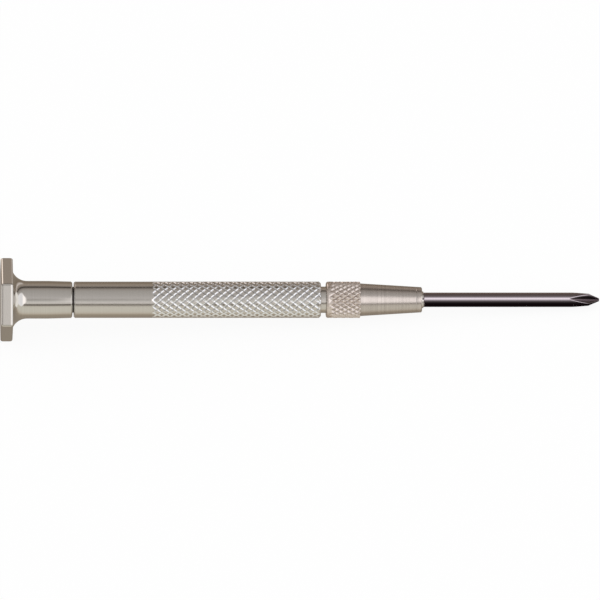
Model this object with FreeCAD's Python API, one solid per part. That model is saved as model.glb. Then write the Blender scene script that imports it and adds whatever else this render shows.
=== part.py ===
"""Watchmaker screwdriver with a swivelling hexagonal head, a collet chuck and a cross-point blade.

Units are mm. The tool lies along X: the finger face is at x = 0 and the point is at the +X end.
The axis of the tool is the X axis, and one flat of the hexagon faces down (-Z).
"""

import FreeCAD, Part
import math
import os

# Swivel head: hexagonal finger rest, concave flare and neck in one piece
HEAD_ACROSS_FLATS = 12.17
HEAD_THICK = 2.0
HEAD_BEVEL = 0.22
HEAD_CORNER_R = 0.45
FLARE_END_X = 4.4
FLARE_R = 2.6
NECK_R = 3.11
NECK_TAPER_X = 7.8
NECK_END_X = 11.85
NECK_END_R = 3.01
NECK_END_BEVEL = 0.2

# Swivel bearing: a pin pressed into the barrel, a ball at its end and a split wire ring
POST_R = 2.15
POST_START_X = 5.9
POST_END_X = 17.2
JOURNAL_GAP = 0.05
BALL_R = 1.0
BALL_X = 5.6
BALL_GAP = 0.03
RING_X = 9.0
RING_R = 2.22
RING_WIRE_R = 0.25
RING_SWEEP_DEG = 325
RING_GROOVE_R = 1.90
RING_GROOVE_WIDE = 0.60

# Barrel
BARREL_R = 3.0
BARREL_START_X = 12.10
BARREL_END_X = 52.90
BARREL_REAR_BEVEL = 0.20
BARREL_FRONT_BEVEL = 0.28
POST_BORE_END_X = 17.4
DRILL_POINT_DEG = 118

# Spigot on the front of the barrel. PILOT_R is the plain collar seen in the groove.
PILOT_R = 2.18
PILOT_END_X = 54.3
THREAD_R = 2.15
SPIGOT_END_X = 60.2
SPIGOT_BEVEL = 0.2
BLADE_BORE_R = 1.24
BLADE_BORE_START_X = 49.95
STEM_BORE_R = 1.70
STEM_BORE_START_X = 55.9

# Collet: stem in the spigot, collar against its end face, four slotted jaws with a front cone
COLLET_BORE_R = 1.21
COLLET_STEM_R = 1.66
COLLET_START_X = 56.1
COLLAR_R = 1.95
COLLAR_START_X = 60.25
COLLAR_END_X = 61.15
JAW_R = 1.70
JAW_CONE_START_X = 67.0
COLLET_TIP_R = 1.36
COLLET_END_X = 69.87
SLOT_WIDE = 0.30
SLOT_START_X = 62.0
SLOT_COUNT = 4

# Chuck nut: knurled ring, then a long cone
NUT_START_X = 53.76
NUT_REAR_BEVEL = 0.34
NUT_RING_R = 3.0
NUT_RING_END_X = 59.41
NUT_RING_BEVEL = 0.06
NUT_CONE_R = 2.70
NUT_END_R = 2.08
NUT_END_X = 69.63
NUT_FRONT_BEVEL = 0.14
NUT_BORE_R = 2.21
NUT_STEP_X = 61.35
NUT_NOSE_R = 1.76
NUT_TAPER_GAP = 0.03

# Blade
BLADE_R = 1.19
BLADE_START_X = 50.0
BLADE_TAIL_BEVEL = 0.15
POINT_CONE_X = 97.2
POINT_END_R = 0.29
BLADE_END_X = 98.95
FLUTE_COUNT = 4
FLUTE_TURN_DEG = 44.2
FLUTE_CUTTER_R = 18.3
FLUTE_CUTTER_X = 100.3
FLUTE_CORE_R = 0.07
FLUTE_HALF_ANGLE_DEG = 50
FLUTE_CUTTER_DEEP = 2.0

ORIGIN = FreeCAD.Vector(0, 0, 0)
X_AXIS = FreeCAD.Vector(1, 0, 0)
Y_AXIS = FreeCAD.Vector(0, 1, 0)


def at(x, r):
    """A point at x along the tool and r above its axis."""
    return FreeCAD.Vector(x, 0, r)


def spin(edges, degrees=360):
    """A solid of revolution about the tool's axis from the edges of a closed outline."""
    outline = Part.Wire(Part.__sortEdges__(edges))
    return Part.Face(outline).revolve(ORIGIN, X_AXIS, degrees)


def lines(points):
    """Straight edges through the (x, r) points, in order."""
    corners = [at(x, r) for x, r in points]
    return [Part.makeLine(a, b) for a, b in zip(corners, corners[1:])]


def turned(points):
    """A solid turned to the (x, r) points, closed along the axis."""
    closed = [(points[0][0], 0), *points, (points[-1][0], 0), (points[0][0], 0)]
    return spin(lines(closed))


def drilled(mouth_x, end_x, radius):
    """The space left by a drill that enters at mouth_x and reaches full width up to end_x."""
    depth = radius / math.tan(math.radians(DRILL_POINT_DEG / 2))
    toward = math.copysign(depth, end_x - mouth_x)
    outline = [(mouth_x, 0), (mouth_x, radius), (end_x, radius), (end_x + toward, 0), (mouth_x, 0)]
    return spin(lines(outline))


def rod(start_x, end_x, radius):
    """A plain cylinder along the tool's axis."""
    return Part.makeCylinder(radius, end_x - start_x, at(start_x, 0), X_AXIS)


def hexagonal_plate():
    """The finger rest: a hexagon with rounded corners and bevelled rims, one flat facing down."""
    across_corners = HEAD_ACROSS_FLATS / math.cos(math.pi / 6)
    angles = [math.radians(60 * i) for i in range(7)]
    corners = [FreeCAD.Vector(0, math.cos(a), math.sin(a)) * (across_corners / 2) for a in angles]
    plate = Part.Face(Part.makePolygon(corners)).extrude(X_AXIS * HEAD_THICK)
    corner_edges = [edge for edge in plate.Edges if edge.BoundBox.XLength > HEAD_THICK / 2]
    plate = plate.makeFillet(HEAD_CORNER_R, corner_edges)
    rims = [edge for edge in plate.Edges if edge.BoundBox.XLength < 1e-6]
    return plate.makeChamfer(HEAD_BEVEL, rims)


def head_flare():
    """The neck and the concave flare that joins it to the finger rest."""
    foot_r = NECK_R + FLARE_R - math.sqrt(FLARE_R**2 - (FLARE_END_X - HEAD_THICK) ** 2)
    half_way_x = (FLARE_END_X + HEAD_THICK) / 2
    half_way_r = NECK_R + FLARE_R - math.sqrt(FLARE_R**2 - (FLARE_END_X - half_way_x) ** 2)
    flare = Part.Arc(at(HEAD_THICK, foot_r), at(half_way_x, half_way_r), at(FLARE_END_X, NECK_R))
    outline = [
        (FLARE_END_X, NECK_R),
        (NECK_TAPER_X, NECK_R),
        (NECK_END_X - NECK_END_BEVEL, NECK_END_R),
        (NECK_END_X, NECK_END_R - NECK_END_BEVEL),
        (NECK_END_X, 0),
        (HEAD_THICK / 2, 0),
        (HEAD_THICK / 2, foot_r),
        (HEAD_THICK, foot_r),
    ]
    return spin([flare.toShape(), *lines(outline)])


def make_swivel_head():
    """The finger rest and neck, bored for the post and grooved for the retaining ring."""
    journal_bore = rod(BALL_X - BALL_R - BALL_GAP, NECK_END_X, POST_R + JOURNAL_GAP)
    ring_groove = rod(RING_X - RING_WIRE_R, RING_X + RING_WIRE_R, RING_R + RING_WIRE_R)
    head = hexagonal_plate().fuse(head_flare())
    return head.cut(journal_bore).cut(ring_groove).removeSplitter()


def make_swivel_post():
    """The pin that the head spins on, with a ring groove and a cone that seats the ball."""
    half_groove = RING_GROOVE_WIDE / 2
    bevel = 0.2
    post = turned(
        [
            (POST_START_X, POST_R - bevel),
            (POST_START_X + bevel, POST_R),
            (RING_X - half_groove, POST_R),
            (RING_X - half_groove, RING_GROOVE_R),
            (RING_X + half_groove, RING_GROOVE_R),
            (RING_X + half_groove, POST_R),
            (POST_END_X - bevel, POST_R),
            (POST_END_X, POST_R - bevel),
        ]
    )
    seat_bottom_x = BALL_X + BALL_R * math.sqrt(2)
    seat_r = seat_bottom_x - POST_START_X
    seat = Part.makeCone(seat_r, 0, seat_r, at(POST_START_X, 0), X_AXIS)
    return post.cut(seat)


def make_thrust_ball():
    """The ball between the end of the post and the bottom of the head's bore."""
    return Part.makeSphere(BALL_R, at(BALL_X, 0))


def make_retaining_ring():
    """The split wire ring that rides in the head and runs in the post's groove."""
    wire = Part.Wire(Part.makeCircle(RING_WIRE_R, at(RING_X, RING_R), Y_AXIS))
    return Part.Face(wire).revolve(ORIGIN, X_AXIS, RING_SWEEP_DEG)


def make_barrel():
    """The handle with its spigot, bored from behind for the post and from the front for the blade."""
    barrel = turned(
        [
            (BARREL_START_X, BARREL_R - BARREL_REAR_BEVEL),
            (BARREL_START_X + BARREL_REAR_BEVEL, BARREL_R),
            (BARREL_END_X - BARREL_FRONT_BEVEL, BARREL_R),
            (BARREL_END_X, BARREL_R - BARREL_FRONT_BEVEL),
            (BARREL_END_X, PILOT_R),
            (PILOT_END_X, PILOT_R),
            (PILOT_END_X, THREAD_R),
            (SPIGOT_END_X - SPIGOT_BEVEL, THREAD_R),
            (SPIGOT_END_X, THREAD_R - SPIGOT_BEVEL),
        ]
    )
    post_bore = drilled(BARREL_START_X, POST_BORE_END_X, POST_R)
    blade_bore = drilled(SPIGOT_END_X, BLADE_BORE_START_X, BLADE_BORE_R)
    stem_bore = rod(STEM_BORE_START_X, SPIGOT_END_X, STEM_BORE_R)
    return barrel.cut(post_bore).cut(blade_bore).cut(stem_bore)


def make_collet():
    """The slotted sleeve that grips the blade."""
    sleeve = turned(
        [
            (COLLET_START_X, COLLET_STEM_R),
            (COLLAR_START_X, COLLET_STEM_R),
            (COLLAR_START_X, COLLAR_R),
            (COLLAR_END_X, COLLAR_R),
            (COLLAR_END_X, JAW_R),
            (JAW_CONE_START_X, JAW_R),
            (COLLET_END_X, COLLET_TIP_R),
        ]
    )
    collet = sleeve.cut(rod(COLLET_START_X, COLLET_END_X, COLLET_BORE_R))
    length = COLLET_END_X - SLOT_START_X
    for i in range(SLOT_COUNT):
        slot = Part.makeBox(length, SLOT_WIDE, COLLAR_R, FreeCAD.Vector(SLOT_START_X, -SLOT_WIDE / 2, 0))
        slot.rotate(ORIGIN, X_AXIS, 360 / SLOT_COUNT * (i + 0.5))
        collet = collet.cut(slot)
    return collet


def make_chuck_nut():
    """The nut: a ring to grip and a cone whose nose squeezes the collet's jaws shut."""
    nut = turned(
        [
            (NUT_START_X, NUT_RING_R - NUT_REAR_BEVEL),
            (NUT_START_X + NUT_REAR_BEVEL, NUT_RING_R),
            (NUT_RING_END_X - NUT_RING_BEVEL, NUT_RING_R),
            (NUT_RING_END_X, NUT_RING_R - NUT_RING_BEVEL),
            (NUT_RING_END_X, NUT_CONE_R),
            (NUT_END_X - NUT_FRONT_BEVEL, NUT_END_R),
            (NUT_END_X, NUT_END_R - NUT_FRONT_BEVEL),
        ]
    )
    nose_end_r = COLLET_TIP_R + (COLLET_END_X - NUT_END_X) * cone_slope() + NUT_TAPER_GAP
    hollow = turned(
        [
            (NUT_START_X, NUT_BORE_R),
            (NUT_STEP_X, NUT_BORE_R),
            (NUT_STEP_X, NUT_NOSE_R),
            (JAW_CONE_START_X, NUT_NOSE_R),
            (JAW_CONE_START_X, JAW_R + NUT_TAPER_GAP),
            (NUT_END_X, nose_end_r),
        ]
    )
    return nut.cut(hollow)


def cone_slope():
    """How much the collet's front cone loses in radius per mm of length."""
    return (JAW_R - COLLET_TIP_R) / (COLLET_END_X - JAW_CONE_START_X)


def flute_cutter():
    """The V-edged milling cutter that leaves one flute of the cross point."""
    half_wide = FLUTE_CUTTER_DEEP * math.tan(math.radians(FLUTE_HALF_ANGLE_DEG))
    centre = at(FLUTE_CUTTER_X, FLUTE_CORE_R + FLUTE_CUTTER_R)
    root_z = FLUTE_CORE_R + FLUTE_CUTTER_DEEP
    corners = [
        FreeCAD.Vector(FLUTE_CUTTER_X, 0, FLUTE_CORE_R),
        FreeCAD.Vector(FLUTE_CUTTER_X, half_wide, root_z),
        FreeCAD.Vector(FLUTE_CUTTER_X, -half_wide, root_z),
        FreeCAD.Vector(FLUTE_CUTTER_X, 0, FLUTE_CORE_R),
    ]
    return Part.Face(Part.makePolygon(corners)).revolve(centre, Y_AXIS, 360)


def make_blade():
    """The round shank with its cross point."""
    blade = turned(
        [
            (BLADE_START_X, BLADE_R - BLADE_TAIL_BEVEL),
            (BLADE_START_X + BLADE_TAIL_BEVEL, BLADE_R),
            (POINT_CONE_X, BLADE_R),
            (BLADE_END_X, POINT_END_R),
        ]
    )
    for i in range(FLUTE_COUNT):
        cutter = flute_cutter()
        cutter.rotate(ORIGIN, X_AXIS, FLUTE_TURN_DEG + 360 / FLUTE_COUNT * i)
        blade = blade.cut(cutter)
    return blade


NODES = {
    "swivel_head": make_swivel_head,
    "swivel_post": make_swivel_post,
    "thrust_ball": make_thrust_ball,
    "retaining_ring": make_retaining_ring,
    "barrel": make_barrel,
    "collet": make_collet,
    "chuck_nut": make_chuck_nut,
    "blade": make_blade,
}

os.makedirs("parts", exist_ok=True)
for name, make in NODES.items():
    shape = make()
    shape.exportStep(f"parts/{name}.step")
    print(name, shape.ShapeType, len(shape.Solids), shape.isValid(), round(shape.Volume, 2))
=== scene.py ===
import math

import bmesh
import bpy
from mathutils import Matrix, Vector


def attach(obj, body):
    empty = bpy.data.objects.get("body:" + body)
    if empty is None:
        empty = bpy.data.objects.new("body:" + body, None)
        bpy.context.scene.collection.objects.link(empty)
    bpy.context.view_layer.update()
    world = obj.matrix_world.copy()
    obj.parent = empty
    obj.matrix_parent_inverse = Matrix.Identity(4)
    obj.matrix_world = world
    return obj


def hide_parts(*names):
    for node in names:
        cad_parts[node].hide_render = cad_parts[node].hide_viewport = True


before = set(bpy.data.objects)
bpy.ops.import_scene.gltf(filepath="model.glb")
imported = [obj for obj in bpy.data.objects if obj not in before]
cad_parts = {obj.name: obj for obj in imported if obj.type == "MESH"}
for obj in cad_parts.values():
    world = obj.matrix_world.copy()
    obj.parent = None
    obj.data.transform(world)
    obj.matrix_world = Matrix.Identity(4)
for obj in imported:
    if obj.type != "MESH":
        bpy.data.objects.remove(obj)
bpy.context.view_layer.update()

# Lengths below are in mm, like the solids. The tool lies along X with its finger face at x = 0.
MM = 0.001
STEPS_ROUND = 144
THIN_STEPS_ROUND = 96
EDGE_ROUND = 0.04
SHARP_DEG = 32

# Swivel head
HEX_APOTHEM = 6.085
HEX_THICK = 2.0
HEX_ROUND_LONG = 0.46
HEX_ROUND_DEEP = 0.26
HEX_CORNER_R = 0.45
HEX_STRIP = 0.03
FLARE_END_X = 4.4
FLARE_R = 2.6
FLARE_STEPS = 16
NECK_R = 3.11
NECK_STRIP = 0.2
NECK_TAPER_X = 7.8
NECK_END_X = 11.85
NECK_END_R = 3.01
NECK_END_BEVEL = 0.2
JOURNAL_R = 2.20
JOURNAL_BOTTOM_X = 4.57

# Barrel
BARREL_R = 3.0
BARREL_START_X = 12.10
BARREL_END_X = 52.90
BARREL_REAR_BEVEL = 0.20
BARREL_FRONT_BEVEL = 0.28
POST_BORE_R = 2.15
POST_BORE_END_X = 17.4
KNURL_START_X = 24.9
KNURL_FADE = 0.5
PILOT_R = 2.18
PILOT_END_X = 54.3
STEM_BORE_R = 1.70
STEM_BORE_X = 55.9
BLADE_BORE_R = 1.24
BLADE_BORE_X = 49.95
BLADE_BORE_CONE = 0.78

# Thread on the barrel's spigot. It is steeper than a plain V by THREAD_FLANK, which leaves flat roots.
THREAD_R = 2.15
THREAD_PITCH = 0.5
THREAD_DEPTH = 0.22
THREAD_FLANK = 1.25
THREAD_STEP = 0.0625
THREAD_START_FADE = 0.4
THREAD_END_FADE = 0.3
THREAD_RUNOUT = 0.5
SPIGOT_END_X = 60.2
SPIGOT_END_BEVEL = 0.2

# Chuck nut
NUT_START_X = 53.76
NUT_RING_R = 3.0
NUT_RING_END_X = 59.41
NUT_REAR_BEVEL = 0.34
NUT_KNURL_START_X = 54.10
NUT_KNURL_FADE = 0.8
NUT_FRONT_BEVEL = 0.08
NUT_FRONT_SLOPE = 2.1
NUT_CONE_R = 2.70
NUT_END_R = 2.08
NUT_END_X = 69.63
NUT_END_BEVEL = 0.14
NUT_LINE_X = 68.67
NUT_LINE_HALF_WIDE = 0.05
NUT_LINE_DEEP = 0.03
NUT_BORE_R = 2.21
NUT_STEP_X = 61.35
NUT_NOSE_R = 1.76
NUT_NOSE_STEP = 0.03
NUT_TAPER_X = 67.0
NUT_MOUTH_R = 1.42
NUT_EDGE_ROUND = 0.03

# Blade
BLADE_R = 1.19
BLADE_START_X = 50.0
BLADE_TAIL_BEVEL = 0.15
BLADE_END_X = 98.95
POINT_CONE_X = 97.2
POINT_END_R = 0.29
POINT_EDGE = 0.05
POINT_RINGS = 60
BLADE_SHARP_DEG = 40
FLUTE_TURN = math.radians(44.2)
FLUTE_CUTTER_R = 18.3
FLUTE_CUTTER_X = 100.3
FLUTE_CORE_R = 0.07
FLUTE_HALF_ANGLE = math.radians(50)
FLUTE_START_GAP = 0.001
FLUTE_ROOT_LIMIT = 0.9999
WING_MIDDLE = math.radians(45)
LAND_LIMIT = math.radians(44)

# The two crossing knurls: grooves round the tool, mm along it for one turn, and where the first starts. Half
# a groove's width is a share of the distance from one groove to the next, and so is the bevel beside it.
BARREL_KNURLS = ((16, 21.1, -0.385), (17, 24.2, 0.086))
BARREL_GROOVE = 0.21
BARREL_CUT = 0.11
NUT_KNURLS = ((21, 27.7, 0.153), (21, 27.7, -0.027))
NUT_GROOVE = 0.30
NUT_CUT = 0.18
GROOVE_BEVEL = 0.05

# Metals. What a knurling wheel has pressed is (lowest radius, highest radius, colour, roughness).
NICKEL = (0.55, 0.52, 0.48)
SATIN_NICKEL = (0.51, 0.462, 0.425)
BARREL_PRESSED = (2.72, 2.98, (0.71, 0.71, 0.71), 0.18)
NUT_PRESSED = (2.73, 3.10, (0.64, 0.57, 0.52), 0.36)
PRESSED_BLEND = 0.01
RING_SHADE = 0.95
RING_SHADE_STOPS = (0.3, 0.7)
RING_DETAIL = 3.0
RING_BUMP = 0.5
WEAR_SCALE = 900.0
WEAR_DETAIL = 4.0
WEAR_SPREAD = 0.1

# The tool rests on the head's lower flat and on the shoulder of the point, so the floor slopes to meet both.
# FLOOR_SIZE is in metres.
REST_X, REST_Z = 1.8, -6.09
SHOULDER_X, SHOULDER_Z = 97.2, -1.20
FLOOR_SIZE = 2.0
FLOOR_COLOUR = 0.07
FLOOR_GLOW = 0.92
WORLD_GLOW = 1.06

# Camera: degrees that it looks down and is turned towards the finger face, metres away, mm that it sees from
# side to side, and the mm along and above the axis that it looks at
VIEW_ELEVATION = 38.8
VIEW_TURN = 2.0
VIEW_DISTANCE = 3.0
VIEW_WIDTH_MM = 99.12
VIEW_CENTRE = (49.49, -0.04)
VIEW_CLIP = (0.01, 20)

# What the polished metal mirrors round its axis, as (degrees, red, green, blue). 0 degrees is the horizon in
# front, 90 is straight up and -90 is straight down.
TENT = (
    (-180, 0.32, 0.27, 0.22),
    (-110, 0.40, 0.355, 0.30),
    (-92, 0.46, 0.41, 0.345),
    (-76, 0.50, 0.44, 0.36),
    (-66, 0.62, 0.56, 0.46),
    (-56, 0.84, 0.79, 0.70),
    (-40, 0.92, 0.91, 0.83),
    (-10, 0.93, 0.92, 0.85),
    (-1, 0.80, 0.77, 0.70),
    (4, 0.22, 0.20, 0.18),
    (10, 0.20, 0.18, 0.16),
    (14, 0.95, 0.93, 0.91),
    (24, 0.98, 0.97, 0.98),
    (30, 0.80, 0.80, 0.80),
    (37, 0.56, 0.55, 0.54),
    (42, 0.62, 0.61, 0.60),
    (48, 0.75, 0.74, 0.75),
    (62, 0.68, 0.67, 0.67),
    (95, 0.58, 0.57, 0.56),
    (108, 0.50, 0.46, 0.44),
    (118, 0.24, 0.22, 0.20),
    (121, 0.08, 0.07, 0.06),
    (127, 0.08, 0.07, 0.06),
    (130, 0.36, 0.32, 0.30),
    (140, 0.48, 0.42, 0.37),
    (152, 0.47, 0.40, 0.34),
    (168, 0.32, 0.26, 0.20),
    (180, 0.32, 0.27, 0.22),
)
TENT_START_X, TENT_END_X, TENT_R = -1000, 1500, 500
TENT_START_GLOW, TENT_END_GLOW = 0.9, 1.35
CARD_STEP_DEG = 3
CARD_SEGMENTS = 48

# What the blade mirrors from a half sleeve close round it: black below, a soft-edged bright strip above
SLEEVE = (
    (-100, 0.02, 0.012, 0.012),
    (-12, 0.02, 0.012, 0.015),
    (0, 0.03, 0.024, 0.026),
    (8, 0.065, 0.058, 0.058),
    (19, 0.21, 0.20, 0.20),
    (30, 0.68, 0.68, 0.70),
    (37, 1.65, 1.73, 1.78),
    (42, 2.5, 2.65, 2.75),
    (51, 3.5, 3.7, 3.8),
    (57, 3.0, 3.2, 3.3),
    (63, 1.4, 1.45, 1.5),
    (70, 0.55, 0.55, 0.57),
)
SLEEVE_START_X, SLEEVE_END_X, SLEEVE_R = 70.0, 120.0, 1.7

# Soft lights at the sides of the tent, in the order they are laid: the side, the colour, where it fades in
# along that side in metres, and its lower and upper edges as (degrees in the middle, degrees more per
# metre). The edges move no more beyond SIDE_REACH metres. Their fades are in degrees.
SIDE_LIGHTS = (
    (1.0, (1.85, 1.82, 1.86), (0.03, 0.19), (33.0, -88.0), (40.0, 110.0)),
    (1.0, (1.30, 1.33, 1.42), (0.28, 0.42), (33.0, -88.0), (40.0, 110.0)),
    (-1.0, (0.40, 0.38, 0.36), (0.08, 0.22), (33.0, -88.0), (40.0, 110.0)),
    (-1.0, (1.60, 1.60, 1.65), (0.45, 0.60), (10.0, 0.0), (30.0, 0.0)),
    (-1.0, (1.85, 1.66, 1.56), (0.06, 0.16), (110.0, 100.0), (190.0, -110.0)),
    (1.0, (0.92, 0.86, 0.84), (0.12, 0.24), (150.0, 0.0), (168.0, 0.0)),
)
SIDE_REACH = 0.42
SIDE_LOWER_FADE = (-5.0, 5.0)
SIDE_UPPER_FADE = (-5.0, 10.0)

# The colour sockets of a mix node, which share their names with its other sockets
MIX_SHARE, MIX_FIRST, MIX_SECOND, MIX_RESULT = 0, 6, 7, 2


def place(x, r, angle):
    """The point r from the axis at x, in metres. Angle 0 is towards +Y and a right angle is up."""
    return Vector((x, r * math.cos(angle), r * math.sin(angle))) * MM


def arc(centre_x, centre_r, long, deep, start_deg, end_deg, steps=6):
    """Points of a profile along an oval arc, with 0 degrees towards +X and 90 away from the axis."""
    angles = [math.radians(start_deg + (end_deg - start_deg) * i / steps) for i in range(steps + 1)]
    return [(centre_x + long * math.cos(a), centre_r + deep * math.sin(a)) for a in angles]


def soften(points, radius=EDGE_ROUND):
    """A profile with each corner cut by a small round, so that edges catch the light."""
    out = [points[0]]
    for before, here, after in zip(points, points[1:], points[2:]):
        corner = Vector(here)
        back = Vector(before) - corner
        ahead = Vector(after) - corner
        reach = min(radius, back.length / 2.5, ahead.length / 2.5)
        first = corner + back.normalized() * reach
        last = corner + ahead.normalized() * reach
        for t in (0, 0.25, 0.5, 0.75, 1):
            out.append(tuple(first * (1 - t) ** 2 + corner * 2 * t * (1 - t) + last * t * t))
    out.append(points[-1])
    return out


def ramp_up(x, start, length):
    """0 before start, 1 after start + length, and a smooth rise between."""
    t = min(max((x - start) / length, 0.0), 1.0)
    return t * t * (3 - 2 * t)


def round_ring(angle):
    """A turned ring: the same radius at every angle."""
    return 1.0


def hex_ring(angle):
    """A hexagon with a flat facing down and rounded corners, as a share of its apothem."""
    half = math.radians(30)
    off_flat = abs(angle % (2 * half) - half)
    corner_r = HEX_CORNER_R / HEX_APOTHEM
    if math.tan(off_flat) <= (1 - corner_r) * math.tan(half):
        return 1.0 / math.cos(off_flat)
    centre_r = (1 - corner_r) / math.cos(half)
    off_corner = half - off_flat
    across = centre_r * math.sin(off_corner)
    return centre_r * math.cos(off_corner) + math.sqrt(corner_r**2 - across**2)


def head_angles():
    """Angles round the head, closer together at the corners of the hexagon."""
    from_corner = (0, 0.5, 1, 1.5, 2, 3, 5, 7.5, 10, 12.5, 15, 17.5, 20, 22.5, 25, 27.5, 30)
    sixth = [*from_corner, *(60 - d for d in reversed(from_corner[1:-1]))]
    return [math.radians(60 * k + d) for k in range(6) for d in sixth]


def join_rings(bm, near, far):
    """Adds the faces between two rings of vertices. Either may be a single vertex on the axis."""
    count = max(len(near), len(far))
    for i in range(count):
        j = (i + 1) % count
        corners = (near[i % len(near)], near[j % len(near)], far[j % len(far)], far[i % len(far)])
        bm.faces.new(list(dict.fromkeys(corners)))


def add_rings(bm, rings, angles):
    """Adds a skin over (x, size, outline) rings. A ring of size 0 is a single point on the axis."""
    last = None
    for x, size, outline in rings:
        used = angles if size else angles[:1]
        verts = [bm.verts.new(place(x, size * outline(a), a)) for a in used]
        if last:
            join_rings(bm, last, verts)
        last = verts


def add_turned(bm, points, steps_round=STEPS_ROUND):
    """Adds a turned skin along (x, r) points."""
    angles = [2 * math.pi * i / steps_round for i in range(steps_round)]
    add_rings(bm, [(x, r, round_ring) for x, r in points], angles)


def append_mesh(bm, other):
    """Adds the other skin to bm."""
    mesh = bpy.data.meshes.new("part")
    other.to_mesh(mesh)
    other.free()
    bm.from_mesh(mesh)
    bpy.data.meshes.remove(mesh)


def finish_mesh(bm, name, sharp_deg=SHARP_DEG):
    """Makes the object: normals outward, smooth shading with crisp edges where the faces turn sharply."""
    bmesh.ops.recalc_face_normals(bm, faces=bm.faces)
    for face in bm.faces:
        face.smooth = True
    for edge in bm.edges:
        edge.smooth = len(edge.link_faces) != 2 or edge.calc_face_angle() < math.radians(sharp_deg)
    mesh = bpy.data.meshes.new(name)
    bm.to_mesh(mesh)
    bm.free()
    obj = bpy.data.objects.new(name, mesh)
    bpy.context.scene.collection.objects.link(obj)
    return obj


def groove_depth(phase, half_width):
    """How deep a knurl is at a phase, from 0 on the land to 1 at the bottom of its groove."""
    off = abs(phase - round(phase))
    return max(0.0, 1.0 - off / half_width)


def knurl_phases(x, turn, knurls):
    """Phases of the two crossing knurls at x and at a share of a turn. A whole number is a groove."""
    (starts_a, lead_a, first_a), (starts_b, lead_b, first_b) = knurls
    return starts_a * (turn + x / lead_a) + first_a, starts_b * (x / lead_b - turn) + first_b


def add_knurl(bm, start_x, end_x, radius, knurls, half_width):
    """Adds a cylinder skin whose edges follow two crossing sets of helical grooves, not yet cut.

    Line i of its grid follows the first set and line j the second, with len(marks) lines to each groove.
    """
    (starts_a, lead_a, first_a), (starts_b, lead_b, first_b) = knurls
    rate = 1 / lead_a + 1 / lead_b
    side, land = half_width, half_width + GROOVE_BEVEL
    marks = (0, side / 2, side, land, 0.5, 1 - land, 1 - side, 1 - side / 2)
    count_a, count_b = starts_a * len(marks), starts_b * len(marks)
    verts = {}

    def turn_a(i):
        return (i // len(marks) + marks[i % len(marks)] - first_a) / starts_a

    def turn_b(j):
        return (j // len(marks) + marks[j % len(marks)] - first_b) / starts_b

    def x_at(i, j):
        return (turn_a(i) + turn_b(j)) / rate

    def vert(i, j):
        if i == count_a:
            i, j = 0, j + count_b
        if (i, j) not in verts:
            x = x_at(i, j)
            verts[i, j] = bm.verts.new(place(x, radius, 2 * math.pi * (turn_a(i) - x / lead_a)))
        return verts[i, j]

    for i in range(count_a):
        lowest = int((start_x * rate - turn_a(i + 1)) * starts_b + first_b) - 2
        highest = int((end_x * rate - turn_a(i)) * starts_b + first_b) + 2
        for j in range(lowest * len(marks), highest * len(marks)):
            corners = ((i, j), (i + 1, j), (i + 1, j + 1), (i, j + 1))
            places = [x_at(*corner) for corner in corners]
            if max(places) > start_x and min(places) < end_x:
                bm.faces.new([vert(*corner) for corner in corners])


def slice_across(bm, x, keep=None):
    """Cuts edges into the skin in the plane at x, and keeps only what is before or after it if asked."""
    bmesh.ops.bisect_plane(
        bm,
        geom=bm.verts[:] + bm.edges[:] + bm.faces[:],
        plane_co=(x * MM, 0, 0),
        plane_no=(1, 0, 0),
        clear_inner=keep == "after",
        clear_outer=keep == "before",
    )


def reshape(bm, radius_at):
    """Moves each vertex to the radius that radius_at gives for its (x in mm, share of a turn)."""
    for v in bm.verts:
        angle = math.atan2(v.co.z, v.co.y)
        x = v.co.x / MM
        v.co = place(x, radius_at(x, angle / (2 * math.pi)), angle)


def knurled_skin(start_x, end_x, bevel_x, radius, knurls, half_width, radius_at):
    """A knurled cylinder skin from start_x to end_x, with a clean edge where its front bevel starts."""
    bm = bmesh.new()
    add_knurl(bm, start_x, end_x, radius, knurls, half_width)
    slice_across(bm, start_x, keep="after")
    slice_across(bm, end_x, keep="before")
    slice_across(bm, bevel_x)
    reshape(bm, radius_at)
    return bm


def make_head():
    """The hexagonal finger rest, its flare and its neck, with the bore for the post."""
    a, long, deep = HEX_APOTHEM, HEX_ROUND_LONG, HEX_ROUND_DEEP
    rear_round = arc(long, a - deep, long, deep, 180, 90)
    front_round = arc(HEX_THICK - long, a - deep, long, deep, 90, 0)
    plate = [(0, a - deep - HEX_STRIP), *rear_round, (long + HEX_STRIP, a)]
    plate += [(HEX_THICK - long - HEX_STRIP, a), *front_round, (HEX_THICK, a - deep - HEX_STRIP)]
    foot_angle = math.degrees(math.acos((FLARE_END_X - HEX_THICK) / FLARE_R))
    flare = arc(FLARE_END_X, NECK_R + FLARE_R, FLARE_R, FLARE_R, 180 + foot_angle, 270, FLARE_STEPS)
    neck = [*flare, (FLARE_END_X + NECK_STRIP, NECK_R), (NECK_TAPER_X, NECK_R)]
    end = soften(
        [
            (NECK_TAPER_X, NECK_R),
            (NECK_END_X - NECK_END_BEVEL, NECK_END_R),
            (NECK_END_X, NECK_END_R - NECK_END_BEVEL),
            (NECK_END_X, JOURNAL_R),
        ]
    )
    bore = [(JOURNAL_BOTTOM_X, JOURNAL_R), (JOURNAL_BOTTOM_X, 0)]
    rings = [(0, 0, hex_ring), (0, a / 2, hex_ring)]
    rings += [(x, r, hex_ring) for x, r in plate]
    rings += [(HEX_THICK, flare[0][1] + HEX_STRIP, round_ring)]
    rings += [(x, r, round_ring) for x, r in neck + end[1:] + bore]
    bm = bmesh.new()
    add_rings(bm, rings, head_angles())
    return finish_mesh(bm, "swivel_head_visual")


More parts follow.
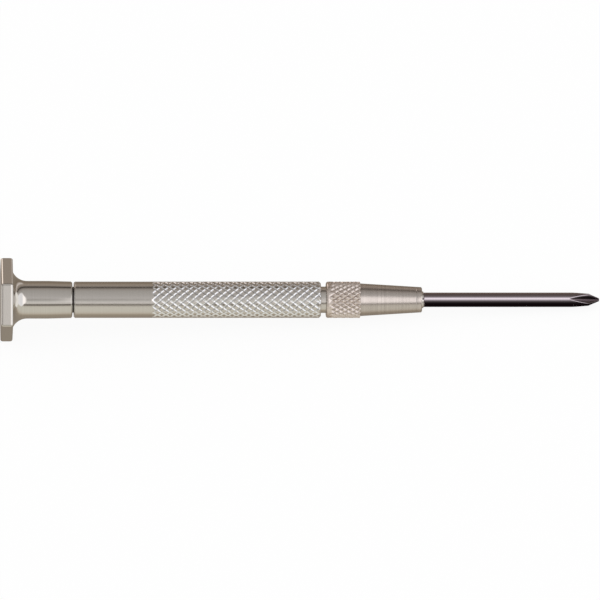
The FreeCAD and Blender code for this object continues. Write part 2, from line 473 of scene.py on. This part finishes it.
def barrel_radius(x, turn):
    """The radius of the knurled length of the barrel: lands flush, grooves cut in, front edge bevelled."""
    phase_a, phase_b = knurl_phases(x, turn, BARREL_KNURLS)
    cut = max(groove_depth(phase_a, BARREL_GROOVE), groove_depth(phase_b, BARREL_GROOVE))
    knurled = BARREL_R - BARREL_CUT * cut * ramp_up(x, KNURL_START_X, KNURL_FADE)
    bevelled = BARREL_R - max(0.0, x - (BARREL_END_X - BARREL_FRONT_BEVEL))
    return min(knurled, bevelled)


def thread_radius(x, turn):
    """The radius of the spigot's right-hand thread."""
    phase = x / THREAD_PITCH - turn
    rise = abs(2 * (phase - math.floor(phase)) - 1)
    fade_in = ramp_up(x, PILOT_END_X, THREAD_START_FADE)
    fade_out = 1 - ramp_up(x, SPIGOT_END_X - THREAD_RUNOUT, THREAD_END_FADE)
    return THREAD_R - THREAD_DEPTH * min(1.0, THREAD_FLANK * rise) * (fade_in * fade_out)


def make_thread():
    """The threaded length of the spigot, and the x where it stops."""
    steps = int((SPIGOT_END_X - SPIGOT_END_BEVEL - PILOT_END_X) / THREAD_STEP)
    thread = bmesh.new()
    points = [(PILOT_END_X + i * THREAD_STEP, THREAD_R) for i in range(steps + 1)]
    add_turned(thread, points, THIN_STEPS_ROUND)
    reshape(thread, thread_radius)
    return thread, points[-1][0]


def make_barrel():
    """The handle: smooth tube, knurled length, spigot with its thread, and the bores at both ends."""
    rear = [
        (POST_BORE_END_X, 0),
        (POST_BORE_END_X, POST_BORE_R),
        (BARREL_START_X, POST_BORE_R),
        (BARREL_START_X, BARREL_R - BARREL_REAR_BEVEL),
        (BARREL_START_X + BARREL_REAR_BEVEL, BARREL_R),
        (KNURL_START_X, BARREL_R),
    ]
    shoulder = [
        (BARREL_END_X, BARREL_R - BARREL_FRONT_BEVEL),
        (BARREL_END_X, PILOT_R),
        (PILOT_END_X, PILOT_R),
    ]
    thread, thread_end_x = make_thread()
    mouth = [
        (thread_end_x, THREAD_R),
        (SPIGOT_END_X, THREAD_R - SPIGOT_END_BEVEL),
        (SPIGOT_END_X, STEM_BORE_R),
        (STEM_BORE_X, STEM_BORE_R),
        (STEM_BORE_X, BLADE_BORE_R),
        (BLADE_BORE_X, BLADE_BORE_R),
        (BLADE_BORE_X - BLADE_BORE_CONE, 0),
    ]
    knurled = knurled_skin(
        KNURL_START_X,
        BARREL_END_X,
        BARREL_END_X - BARREL_FRONT_BEVEL,
        BARREL_R,
        BARREL_KNURLS,
        BARREL_GROOVE,
        barrel_radius,
    )
    bm = bmesh.new()
    add_turned(bm, soften(rear))
    append_mesh(bm, knurled)
    add_turned(bm, shoulder)
    append_mesh(bm, thread)
    add_turned(bm, mouth, THIN_STEPS_ROUND)
    return finish_mesh(bm, "barrel_visual")


def nut_radius(x, turn):
    """The radius of the knurled length of the nut's ring: softer, rounder diamonds."""
    phase_a, phase_b = knurl_phases(x, turn, NUT_KNURLS)
    deepest = max(groove_depth(phase_a, NUT_GROOVE), groove_depth(phase_b, NUT_GROOVE))
    cut = NUT_CUT * ramp_up(deepest, 0, 1) * ramp_up(x, NUT_KNURL_START_X, NUT_KNURL_FADE)
    bevelled = NUT_RING_R - NUT_FRONT_SLOPE * max(0.0, x - (NUT_RING_END_X - NUT_FRONT_BEVEL))
    return min(NUT_RING_R - cut, bevelled)


def cone_point(x, below=0.0):
    """The point of the nut's profile at x, this far below its cone."""
    slope = (NUT_CONE_R - NUT_END_R) / (NUT_END_X - NUT_RING_END_X)
    return x, NUT_CONE_R - (x - NUT_RING_END_X) * slope - below


def make_nut():
    """The chuck nut: knurled ring, long cone with its turned line near the end, and its bore."""
    bevel = NUT_REAR_BEVEL
    rear_round = arc(NUT_START_X + bevel, NUT_RING_R - bevel, bevel, bevel, 180, 90)
    front = [
        (NUT_RING_END_X, NUT_RING_R - NUT_FRONT_SLOPE * NUT_FRONT_BEVEL),
        (NUT_RING_END_X, NUT_CONE_R),
        cone_point(NUT_LINE_X - NUT_LINE_HALF_WIDE),
        cone_point(NUT_LINE_X, NUT_LINE_DEEP),
        cone_point(NUT_LINE_X + NUT_LINE_HALF_WIDE),
        cone_point(NUT_END_X - NUT_END_BEVEL),
        cone_point(NUT_END_X, NUT_END_BEVEL),
        (NUT_END_X, NUT_MOUTH_R),
        (NUT_TAPER_X, NUT_NOSE_R - NUT_NOSE_STEP),
        (NUT_TAPER_X, NUT_NOSE_R),
        (NUT_STEP_X, NUT_NOSE_R),
        (NUT_STEP_X, NUT_BORE_R),
        (NUT_START_X, NUT_BORE_R),
    ]
    ring = knurled_skin(
        NUT_KNURL_START_X,
        NUT_RING_END_X,
        NUT_RING_END_X - NUT_FRONT_BEVEL,
        NUT_RING_R,
        NUT_KNURLS,
        NUT_GROOVE,
        nut_radius,
    )
    bm = bmesh.new()
    add_turned(bm, [(NUT_START_X, NUT_BORE_R), *rear_round])
    append_mesh(bm, ring)
    add_turned(bm, soften(front, NUT_EDGE_ROUND))
    return finish_mesh(bm, "chuck_nut_visual")


def point_radius(x):
    """The blade's radius at x, before the flutes are cut."""
    slope = (BLADE_R - POINT_END_R) / (BLADE_END_X - POINT_CONE_X)
    return BLADE_R - slope * max(0.0, x - POINT_CONE_X)


def flute_root(x):
    """How far the bottom of a flute is from the axis at x."""
    return FLUTE_CORE_R + FLUTE_CUTTER_R - math.sqrt(FLUTE_CUTTER_R**2 - (x - FLUTE_CUTTER_X) ** 2)


def half_flute(x):
    """(angle, radius) at x from the middle of a flute to just short of the middle of the wing beside it."""
    outer = point_radius(x)
    root = min(flute_root(x), outer * FLUTE_ROOT_LIMIT)
    h = FLUTE_HALF_ANGLE
    edge = h - math.asin(root / outer * math.sin(h))
    worn = POINT_EDGE / outer
    flank = [edge * t for t in (0, 0.06, 0.25, 0.5, 0.75)] + [max(edge - worn, edge * 0.9)]
    land = [min(edge + worn, LAND_LIMIT), (edge + WING_MIDDLE) / 2]
    return [(a, root * math.sin(h) / math.sin(h - a)) for a in flank] + [(a, outer) for a in land]


def point_ring(x):
    """(angle, radius) all round the cross point at x: four flutes, with a wing after each."""
    half = half_flute(x)
    ring = []
    for quarter in range(4):
        middle = math.radians(90 * (quarter + 1)) + FLUTE_TURN
        ring += [(middle - a, r) for a, r in reversed(half[1:])]
        ring += [(middle + a, r) for a, r in half]
        ring.append((middle + WING_MIDDLE, point_radius(x)))
    return ring


def make_blade():
    """The round shank and its four-winged point."""
    root_rise = FLUTE_CUTTER_R + FLUTE_CORE_R - BLADE_R
    flute_start = FLUTE_CUTTER_X - math.sqrt(FLUTE_CUTTER_R**2 - root_rise**2)
    shank = [
        (BLADE_START_X, 0),
        (BLADE_START_X, BLADE_R - BLADE_TAIL_BEVEL),
        (BLADE_START_X + BLADE_TAIL_BEVEL, BLADE_R),
        (flute_start, BLADE_R),
    ]
    bm = bmesh.new()
    add_turned(bm, soften(shank), THIN_STEPS_ROUND)
    length = BLADE_END_X - flute_start
    first_x = flute_start + FLUTE_START_GAP
    ring_xs = [first_x + length * i / POINT_RINGS for i in range(POINT_RINGS)]
    last = None
    for x in sorted([*ring_xs, POINT_CONE_X, BLADE_END_X]):
        verts = [bm.verts.new(place(x, r, a)) for a, r in point_ring(x)]
        if last:
            join_rings(bm, last, verts)
        last = verts
    join_rings(bm, last, [bm.verts.new(place(BLADE_END_X, 0, 0))])
    return finish_mesh(bm, "blade_visual", BLADE_SHARP_DEG)


class Nodes:
    """A short way to add and join the shader nodes of a new material."""

    def __init__(self, name):
        self.material = bpy.data.materials.new(name)
        self.material.use_nodes = True
        self.tree = self.material.node_tree
        self.tree.nodes.clear()

    def add(self, kind, **values):
        """A new node with the values given."""
        node = self.tree.nodes.new(kind)
        for key, value in values.items():
            setattr(node, key, value)
        return node

    def join(self, out, into):
        """Joins an output to an input."""
        self.tree.links.new(out, into)

    def feed(self, value, into):
        """Gives an input a fixed value or the output of another node."""
        if isinstance(value, bpy.types.NodeSocket):
            self.join(value, into)
        else:
            into.default_value = value

    def show(self, shader):
        """Makes a shader's output the surface of the material."""
        self.join(shader, self.add("ShaderNodeOutputMaterial").inputs["Surface"])

    def position(self):
        """The place on the piece in metres, as one output and as separate X, Y and Z outputs."""
        where = self.add("ShaderNodeTexCoord").outputs["Object"]
        split = self.add("ShaderNodeSeparateXYZ")
        self.join(where, split.inputs["Vector"])
        return where, split.outputs

    def math(self, operation, *values):
        """The output of a maths node. Each value is a number or the output of another node."""
        node = self.add("ShaderNodeMath", operation=operation)
        for socket, value in zip(node.inputs, values):
            self.feed(value, socket)
        return node.outputs["Value"]

    def smooth_step(self, value, start, end):
        """A value that eases from 0 at start to 1 at end."""
        node = self.add("ShaderNodeMapRange", interpolation_type="SMOOTHSTEP")
        node.inputs["From Min"].default_value = start
        node.inputs["From Max"].default_value = end
        self.join(value, node.inputs["Value"])
        return node.outputs["Result"]

    def blend(self, share, first, second):
        """A mix from the first colour, an output, to the second, a fixed colour."""
        node = self.add("ShaderNodeMix", data_type="RGBA")
        self.join(share, node.inputs[MIX_SHARE])
        self.join(first, node.inputs[MIX_FIRST])
        node.inputs[MIX_SECOND].default_value = (*second, 1)
        return node.outputs[MIX_RESULT]

    def ramp(self, share, stops):
        """The colour at a share from 0 to 1, from (share, colour) stops."""
        node = self.add("ShaderNodeValToRGB")
        self.join(share, node.inputs["Fac"])
        elements = node.color_ramp.elements
        while len(elements) < len(stops):
            elements.new(1.0)
        for element, (position, colour) in zip(elements, stops):
            element.position = position
            element.color = (*colour, 1)
        return node.outputs["Color"]


def lathe_rings(n, along, off_axis, ring_mm):
    """A height that changes only along the tool and away from its axis, as a lathe's marks do."""
    rings = n.add("ShaderNodeTexNoise", noise_dimensions="1D")
    rings.inputs["Scale"].default_value = 1 / (ring_mm * MM)
    rings.inputs["Detail"].default_value = RING_DETAIL
    n.join(n.math("ADD", along, off_axis), rings.inputs["W"])
    return rings.outputs["Fac"]


def add_bump(n, height, depth_mm):
    """The normal of a surface with this height."""
    bump = n.add("ShaderNodeBump")
    bump.inputs["Strength"].default_value = RING_BUMP
    bump.inputs["Distance"].default_value = depth_mm * MM
    n.join(height, bump.inputs["Height"])
    return bump.outputs["Normal"]


def worn_gloss(n, where, roughness):
    """A roughness that varies a little from place to place, as handling leaves it."""
    wear = n.add("ShaderNodeTexNoise")
    wear.inputs["Scale"].default_value = WEAR_SCALE
    wear.inputs["Detail"].default_value = WEAR_DETAIL
    n.join(where, wear.inputs["Vector"])
    return n.math("MULTIPLY_ADD", wear.outputs["Fac"], WEAR_SPREAD, roughness - WEAR_SPREAD / 2)


def pressed_share(n, off_axis, low_r, high_r):
    """1 between two radii in mm and 0 elsewhere, with soft edges."""
    above = n.smooth_step(off_axis, (low_r - PRESSED_BLEND) * MM, (low_r + PRESSED_BLEND) * MM)
    below = n.smooth_step(off_axis, (high_r + PRESSED_BLEND) * MM, (high_r - PRESSED_BLEND) * MM)
    return n.math("MULTIPLY", above, below)


def turned_metal(name, colour, roughness, ring_mm, ring_depth, ring_shade=RING_SHADE, pressed=None):
    """A metal turned on a lathe: fine rings round the axis, a little wear, and the finish of any knurl."""
    n = Nodes(name)
    metal = n.add("ShaderNodeBsdfPrincipled")
    metal.inputs["Metallic"].default_value = 1.0
    n.show(metal.outputs["BSDF"])
    where, split = n.position()
    squares = [n.math("MULTIPLY", split[axis], split[axis]) for axis in "YZ"]
    off_axis = n.math("SQRT", n.math("ADD", *squares))
    rings = lathe_rings(n, split["X"], off_axis, ring_mm)
    shaded = tuple(c * ring_shade for c in colour)
    tint = n.ramp(rings, list(zip(RING_SHADE_STOPS, (shaded, colour))))
    gloss = worn_gloss(n, where, roughness)
    if pressed:
        low_r, high_r, pressed_colour, pressed_roughness = pressed
        share = pressed_share(n, off_axis, low_r, high_r)
        tint = n.blend(share, tint, pressed_colour)
        gloss = n.math("MULTIPLY_ADD", share, pressed_roughness - roughness, gloss)
    n.join(add_bump(n, rings, ring_depth), metal.inputs["Normal"])
    n.join(tint, metal.inputs["Base Color"])
    n.join(gloss, metal.inputs["Roughness"])
    return n.material


def set_material(obj, material):
    """Gives an object this one material."""
    obj.data.materials.clear()
    obj.data.materials.append(material)


def dress(obj, material, body, node):
    """Gives a modelled piece its material and its body, and hides the solid that it stands for."""
    set_material(obj, material)
    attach(obj, body)
    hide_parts(node)


def make_floor():
    """A wide pale floor under the tool. Part of its light is its own, which keeps the shadow faint."""
    bpy.ops.mesh.primitive_plane_add(size=FLOOR_SIZE)
    floor = bpy.context.object
    floor.name = "floor"
    floor.rotation_euler = (0, -math.atan2(SHOULDER_Z - REST_Z, SHOULDER_X - REST_X), 0)
    floor.location = (REST_X * MM, 0, REST_Z * MM)
    material = bpy.data.materials.new("pale_floor")
    material.use_nodes = True
    shader = material.node_tree.nodes["Principled BSDF"]
    shader.inputs["Base Color"].default_value = (FLOOR_COLOUR, FLOOR_COLOUR, FLOOR_COLOUR, 1)
    shader.inputs["Roughness"].default_value = 1.0
    shader.inputs["Specular IOR Level"].default_value = 0.0
    shader.inputs["Emission Color"].default_value = (1, 1, 1, 1)
    shader.inputs["Emission Strength"].default_value = FLOOR_GLOW
    set_material(floor, material)
    floor.visible_glossy = False


def make_world():
    """Even white light from all round."""
    world = bpy.data.worlds.new("white_room")
    world.use_nodes = True
    background = world.node_tree.nodes["Background"]
    background.inputs["Color"].default_value = (1, 1, 1, 1)
    background.inputs["Strength"].default_value = WORLD_GLOW
    bpy.context.scene.world = world


def arc_card(name, start_x, end_x, radius, start_deg, end_deg):
    """A card bent round the tool's axis. Lengths are in mm, and degrees go up from the horizon in front."""
    bm = bmesh.new()
    steps = round(abs(end_deg - start_deg) / CARD_STEP_DEG)
    rows = []
    for i in range(steps + 1):
        angle = math.radians(180 - start_deg - (end_deg - start_deg) * i / steps)
        rows.append([bm.verts.new(place(x, radius, angle)) for x in (start_x, end_x)])
    for low, high in zip(rows, rows[1:]):
        bm.faces.new((low[0], low[1], high[1], high[0]))
    return finish_mesh(bm, name)


def end_card(name, x):
    """A flat card across one end of the tent."""
    bm = bmesh.new()
    bmesh.ops.create_circle(bm, cap_ends=True, segments=CARD_SEGMENTS, radius=TENT_R * MM)
    for v in bm.verts:
        v.co = (x * MM, v.co.x, v.co.y)
    return finish_mesh(bm, name)


def light_card(card, n, colour):
    """Makes a card shine with a colour, and leaves it out of everything but what the metal mirrors."""
    shine = n.add("ShaderNodeEmission")
    n.feed(colour, shine.inputs["Color"])
    n.show(shine.outputs["Emission"])
    n.material.cycles.emission_sampling = "NONE"
    set_material(card, n.material)
    card.visible_camera = False
    card.visible_diffuse = False
    card.visible_shadow = False


def angle_round_tool(n, split):
    """The angle round the tool in degrees, from a split position. It is 0 in front and 90 straight up."""
    front = n.math("MULTIPLY", split["Y"], -1.0)
    return n.math("DEGREES", n.math("ARCTAN2", split["Z"], front))


def colour_by_angle(n, degrees, stops):
    """The colour at an angle, from (degrees, red, green, blue) stops."""
    share = n.math("MULTIPLY_ADD", degrees, 1 / 360, 0.5)
    return n.ramp(share, [(angle / 360 + 0.5, colour) for angle, *colour in stops])


def side_light(n, along, degrees, fade, low, high):
    """Where a soft light at one side of the tent shines."""
    reach = n.math("MINIMUM", along, SIDE_REACH)
    low_edge = n.math("MULTIPLY_ADD", reach, low[1], low[0])
    high_edge = n.math("MULTIPLY_ADD", reach, high[1], high[0])
    above = n.smooth_step(n.math("SUBTRACT", degrees, low_edge), *SIDE_LOWER_FADE)
    below = n.smooth_step(n.math("SUBTRACT", high_edge, degrees), *SIDE_UPPER_FADE)
    away = n.smooth_step(along, *fade)
    return n.math("MULTIPLY", n.math("MULTIPLY", above, below), away)


def make_tent():
    """A round screen all about the tool that only its reflections show, as a studio tent does."""
    tent = arc_card("light_tent", TENT_START_X, TENT_END_X, TENT_R, -180, 180)
    n = Nodes("tent_glow")
    _, split = n.position()
    degrees = angle_round_tool(n, split)
    colour = colour_by_angle(n, degrees, TENT)
    for side, light_colour, fade, low, high in SIDE_LIGHTS:
        along = n.math("MULTIPLY", split["X"], side)
        colour = n.blend(side_light(n, along, degrees, fade, low, high), colour, light_colour)
    light_card(tent, n, colour)


def make_tent_end(name, x, glow):
    """One end of the tent, the same grey all over."""
    light_card(end_card(name, x), Nodes(name + "_glow"), (glow, glow, glow, 1))


def make_blade_sleeve():
    """A half sleeve round the front of the blade, for its dark underside and the bright line along it."""
    low, high = SLEEVE[0][0], SLEEVE[-1][0]
    sleeve = arc_card("blade_sleeve", SLEEVE_START_X, SLEEVE_END_X, SLEEVE_R, low, high)
    n = Nodes("sleeve_glow")
    _, split = n.position()
    light_card(sleeve, n, colour_by_angle(n, angle_round_tool(n, split), SLEEVE))


def make_camera():
    """A long lens in front of the tool, looking down on it and turned a little towards the finger face."""
    data = bpy.data.cameras.new("camera")
    data.lens = data.sensor_width * VIEW_DISTANCE / (VIEW_WIDTH_MM * MM)
    data.clip_start, data.clip_end = VIEW_CLIP
    camera = bpy.data.objects.new("camera", data)
    bpy.context.scene.collection.objects.link(camera)
    height, turn = math.radians(VIEW_ELEVATION), math.radians(VIEW_TURN)
    along = Vector((1, 0, 0))
    facing = Vector((0, -math.cos(height), math.sin(height)))
    up = Vector((0, math.sin(height), math.cos(height)))
    back = facing * math.cos(turn) - along * math.sin(turn)
    right = along * math.cos(turn) + facing * math.sin(turn)
    centre = Vector((VIEW_CENTRE[0] * MM, 0, 0)) + up * VIEW_CENTRE[1] * MM
    camera.location = centre + back * VIEW_DISTANCE
    camera.rotation_mode = "QUATERNION"
    camera.rotation_quaternion = Matrix((right, up, back)).transposed().to_quaternion()
    bpy.context.scene.camera = camera


# Colour, roughness, mm from one turned ring to the next, and how deep the rings are in mm
bright_nickel = turned_metal("bright_nickel", NICKEL, 0.12, 0.20, 0.0006)
knurled_nickel = turned_metal("knurled_nickel", NICKEL, 0.18, 0.20, 0.0006, pressed=BARREL_PRESSED)
satin_nickel = turned_metal("satin_nickel", SATIN_NICKEL, 0.26, 0.45, 0.008, 0.86, NUT_PRESSED)
spring_steel = turned_metal("spring_steel", (0.60, 0.57, 0.53), 0.25, 0.15, 0.001)
ground_steel = turned_metal("ground_steel", (0.52, 0.51, 0.50), 0.15, 0.10, 0.0004)
# Near black: painted shade for the post where it shows in the narrow gap between head and barrel
painted_shade_steel = turned_metal("painted_shade_steel", (0.06, 0.055, 0.05), 0.25, 0.10, 0.0004)
drawn_wire = turned_metal("drawn_wire", (0.38, 0.37, 0.37), 0.30, 0.10, 0.0004)
dark_steel = turned_metal("dark_steel", (0.25, 0.21, 0.22), 0.12, 0.25, 0.0005)

dress(make_head(), bright_nickel, "head", "swivel_head")
dress(make_barrel(), knurled_nickel, "handle", "barrel")
dress(make_nut(), satin_nickel, "nut", "chuck_nut")
dress(make_blade(), dark_steel, "blade", "blade")
set_material(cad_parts["collet"], spring_steel)
# The post carries the near-black painted shade of the gap between head and barrel
set_material(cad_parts["swivel_post"], painted_shade_steel)
set_material(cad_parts["thrust_ball"], ground_steel)
set_material(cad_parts["retaining_ring"], drawn_wire)

make_floor()
make_world()
make_tent()
make_tent_end("tent_end_left", TENT_START_X, TENT_START_GLOW)
make_tent_end("tent_end_right", TENT_END_X, TENT_END_GLOW)
make_blade_sleeve()
make_camera()
bpy.context.scene.view_settings.view_transform = "Standard"
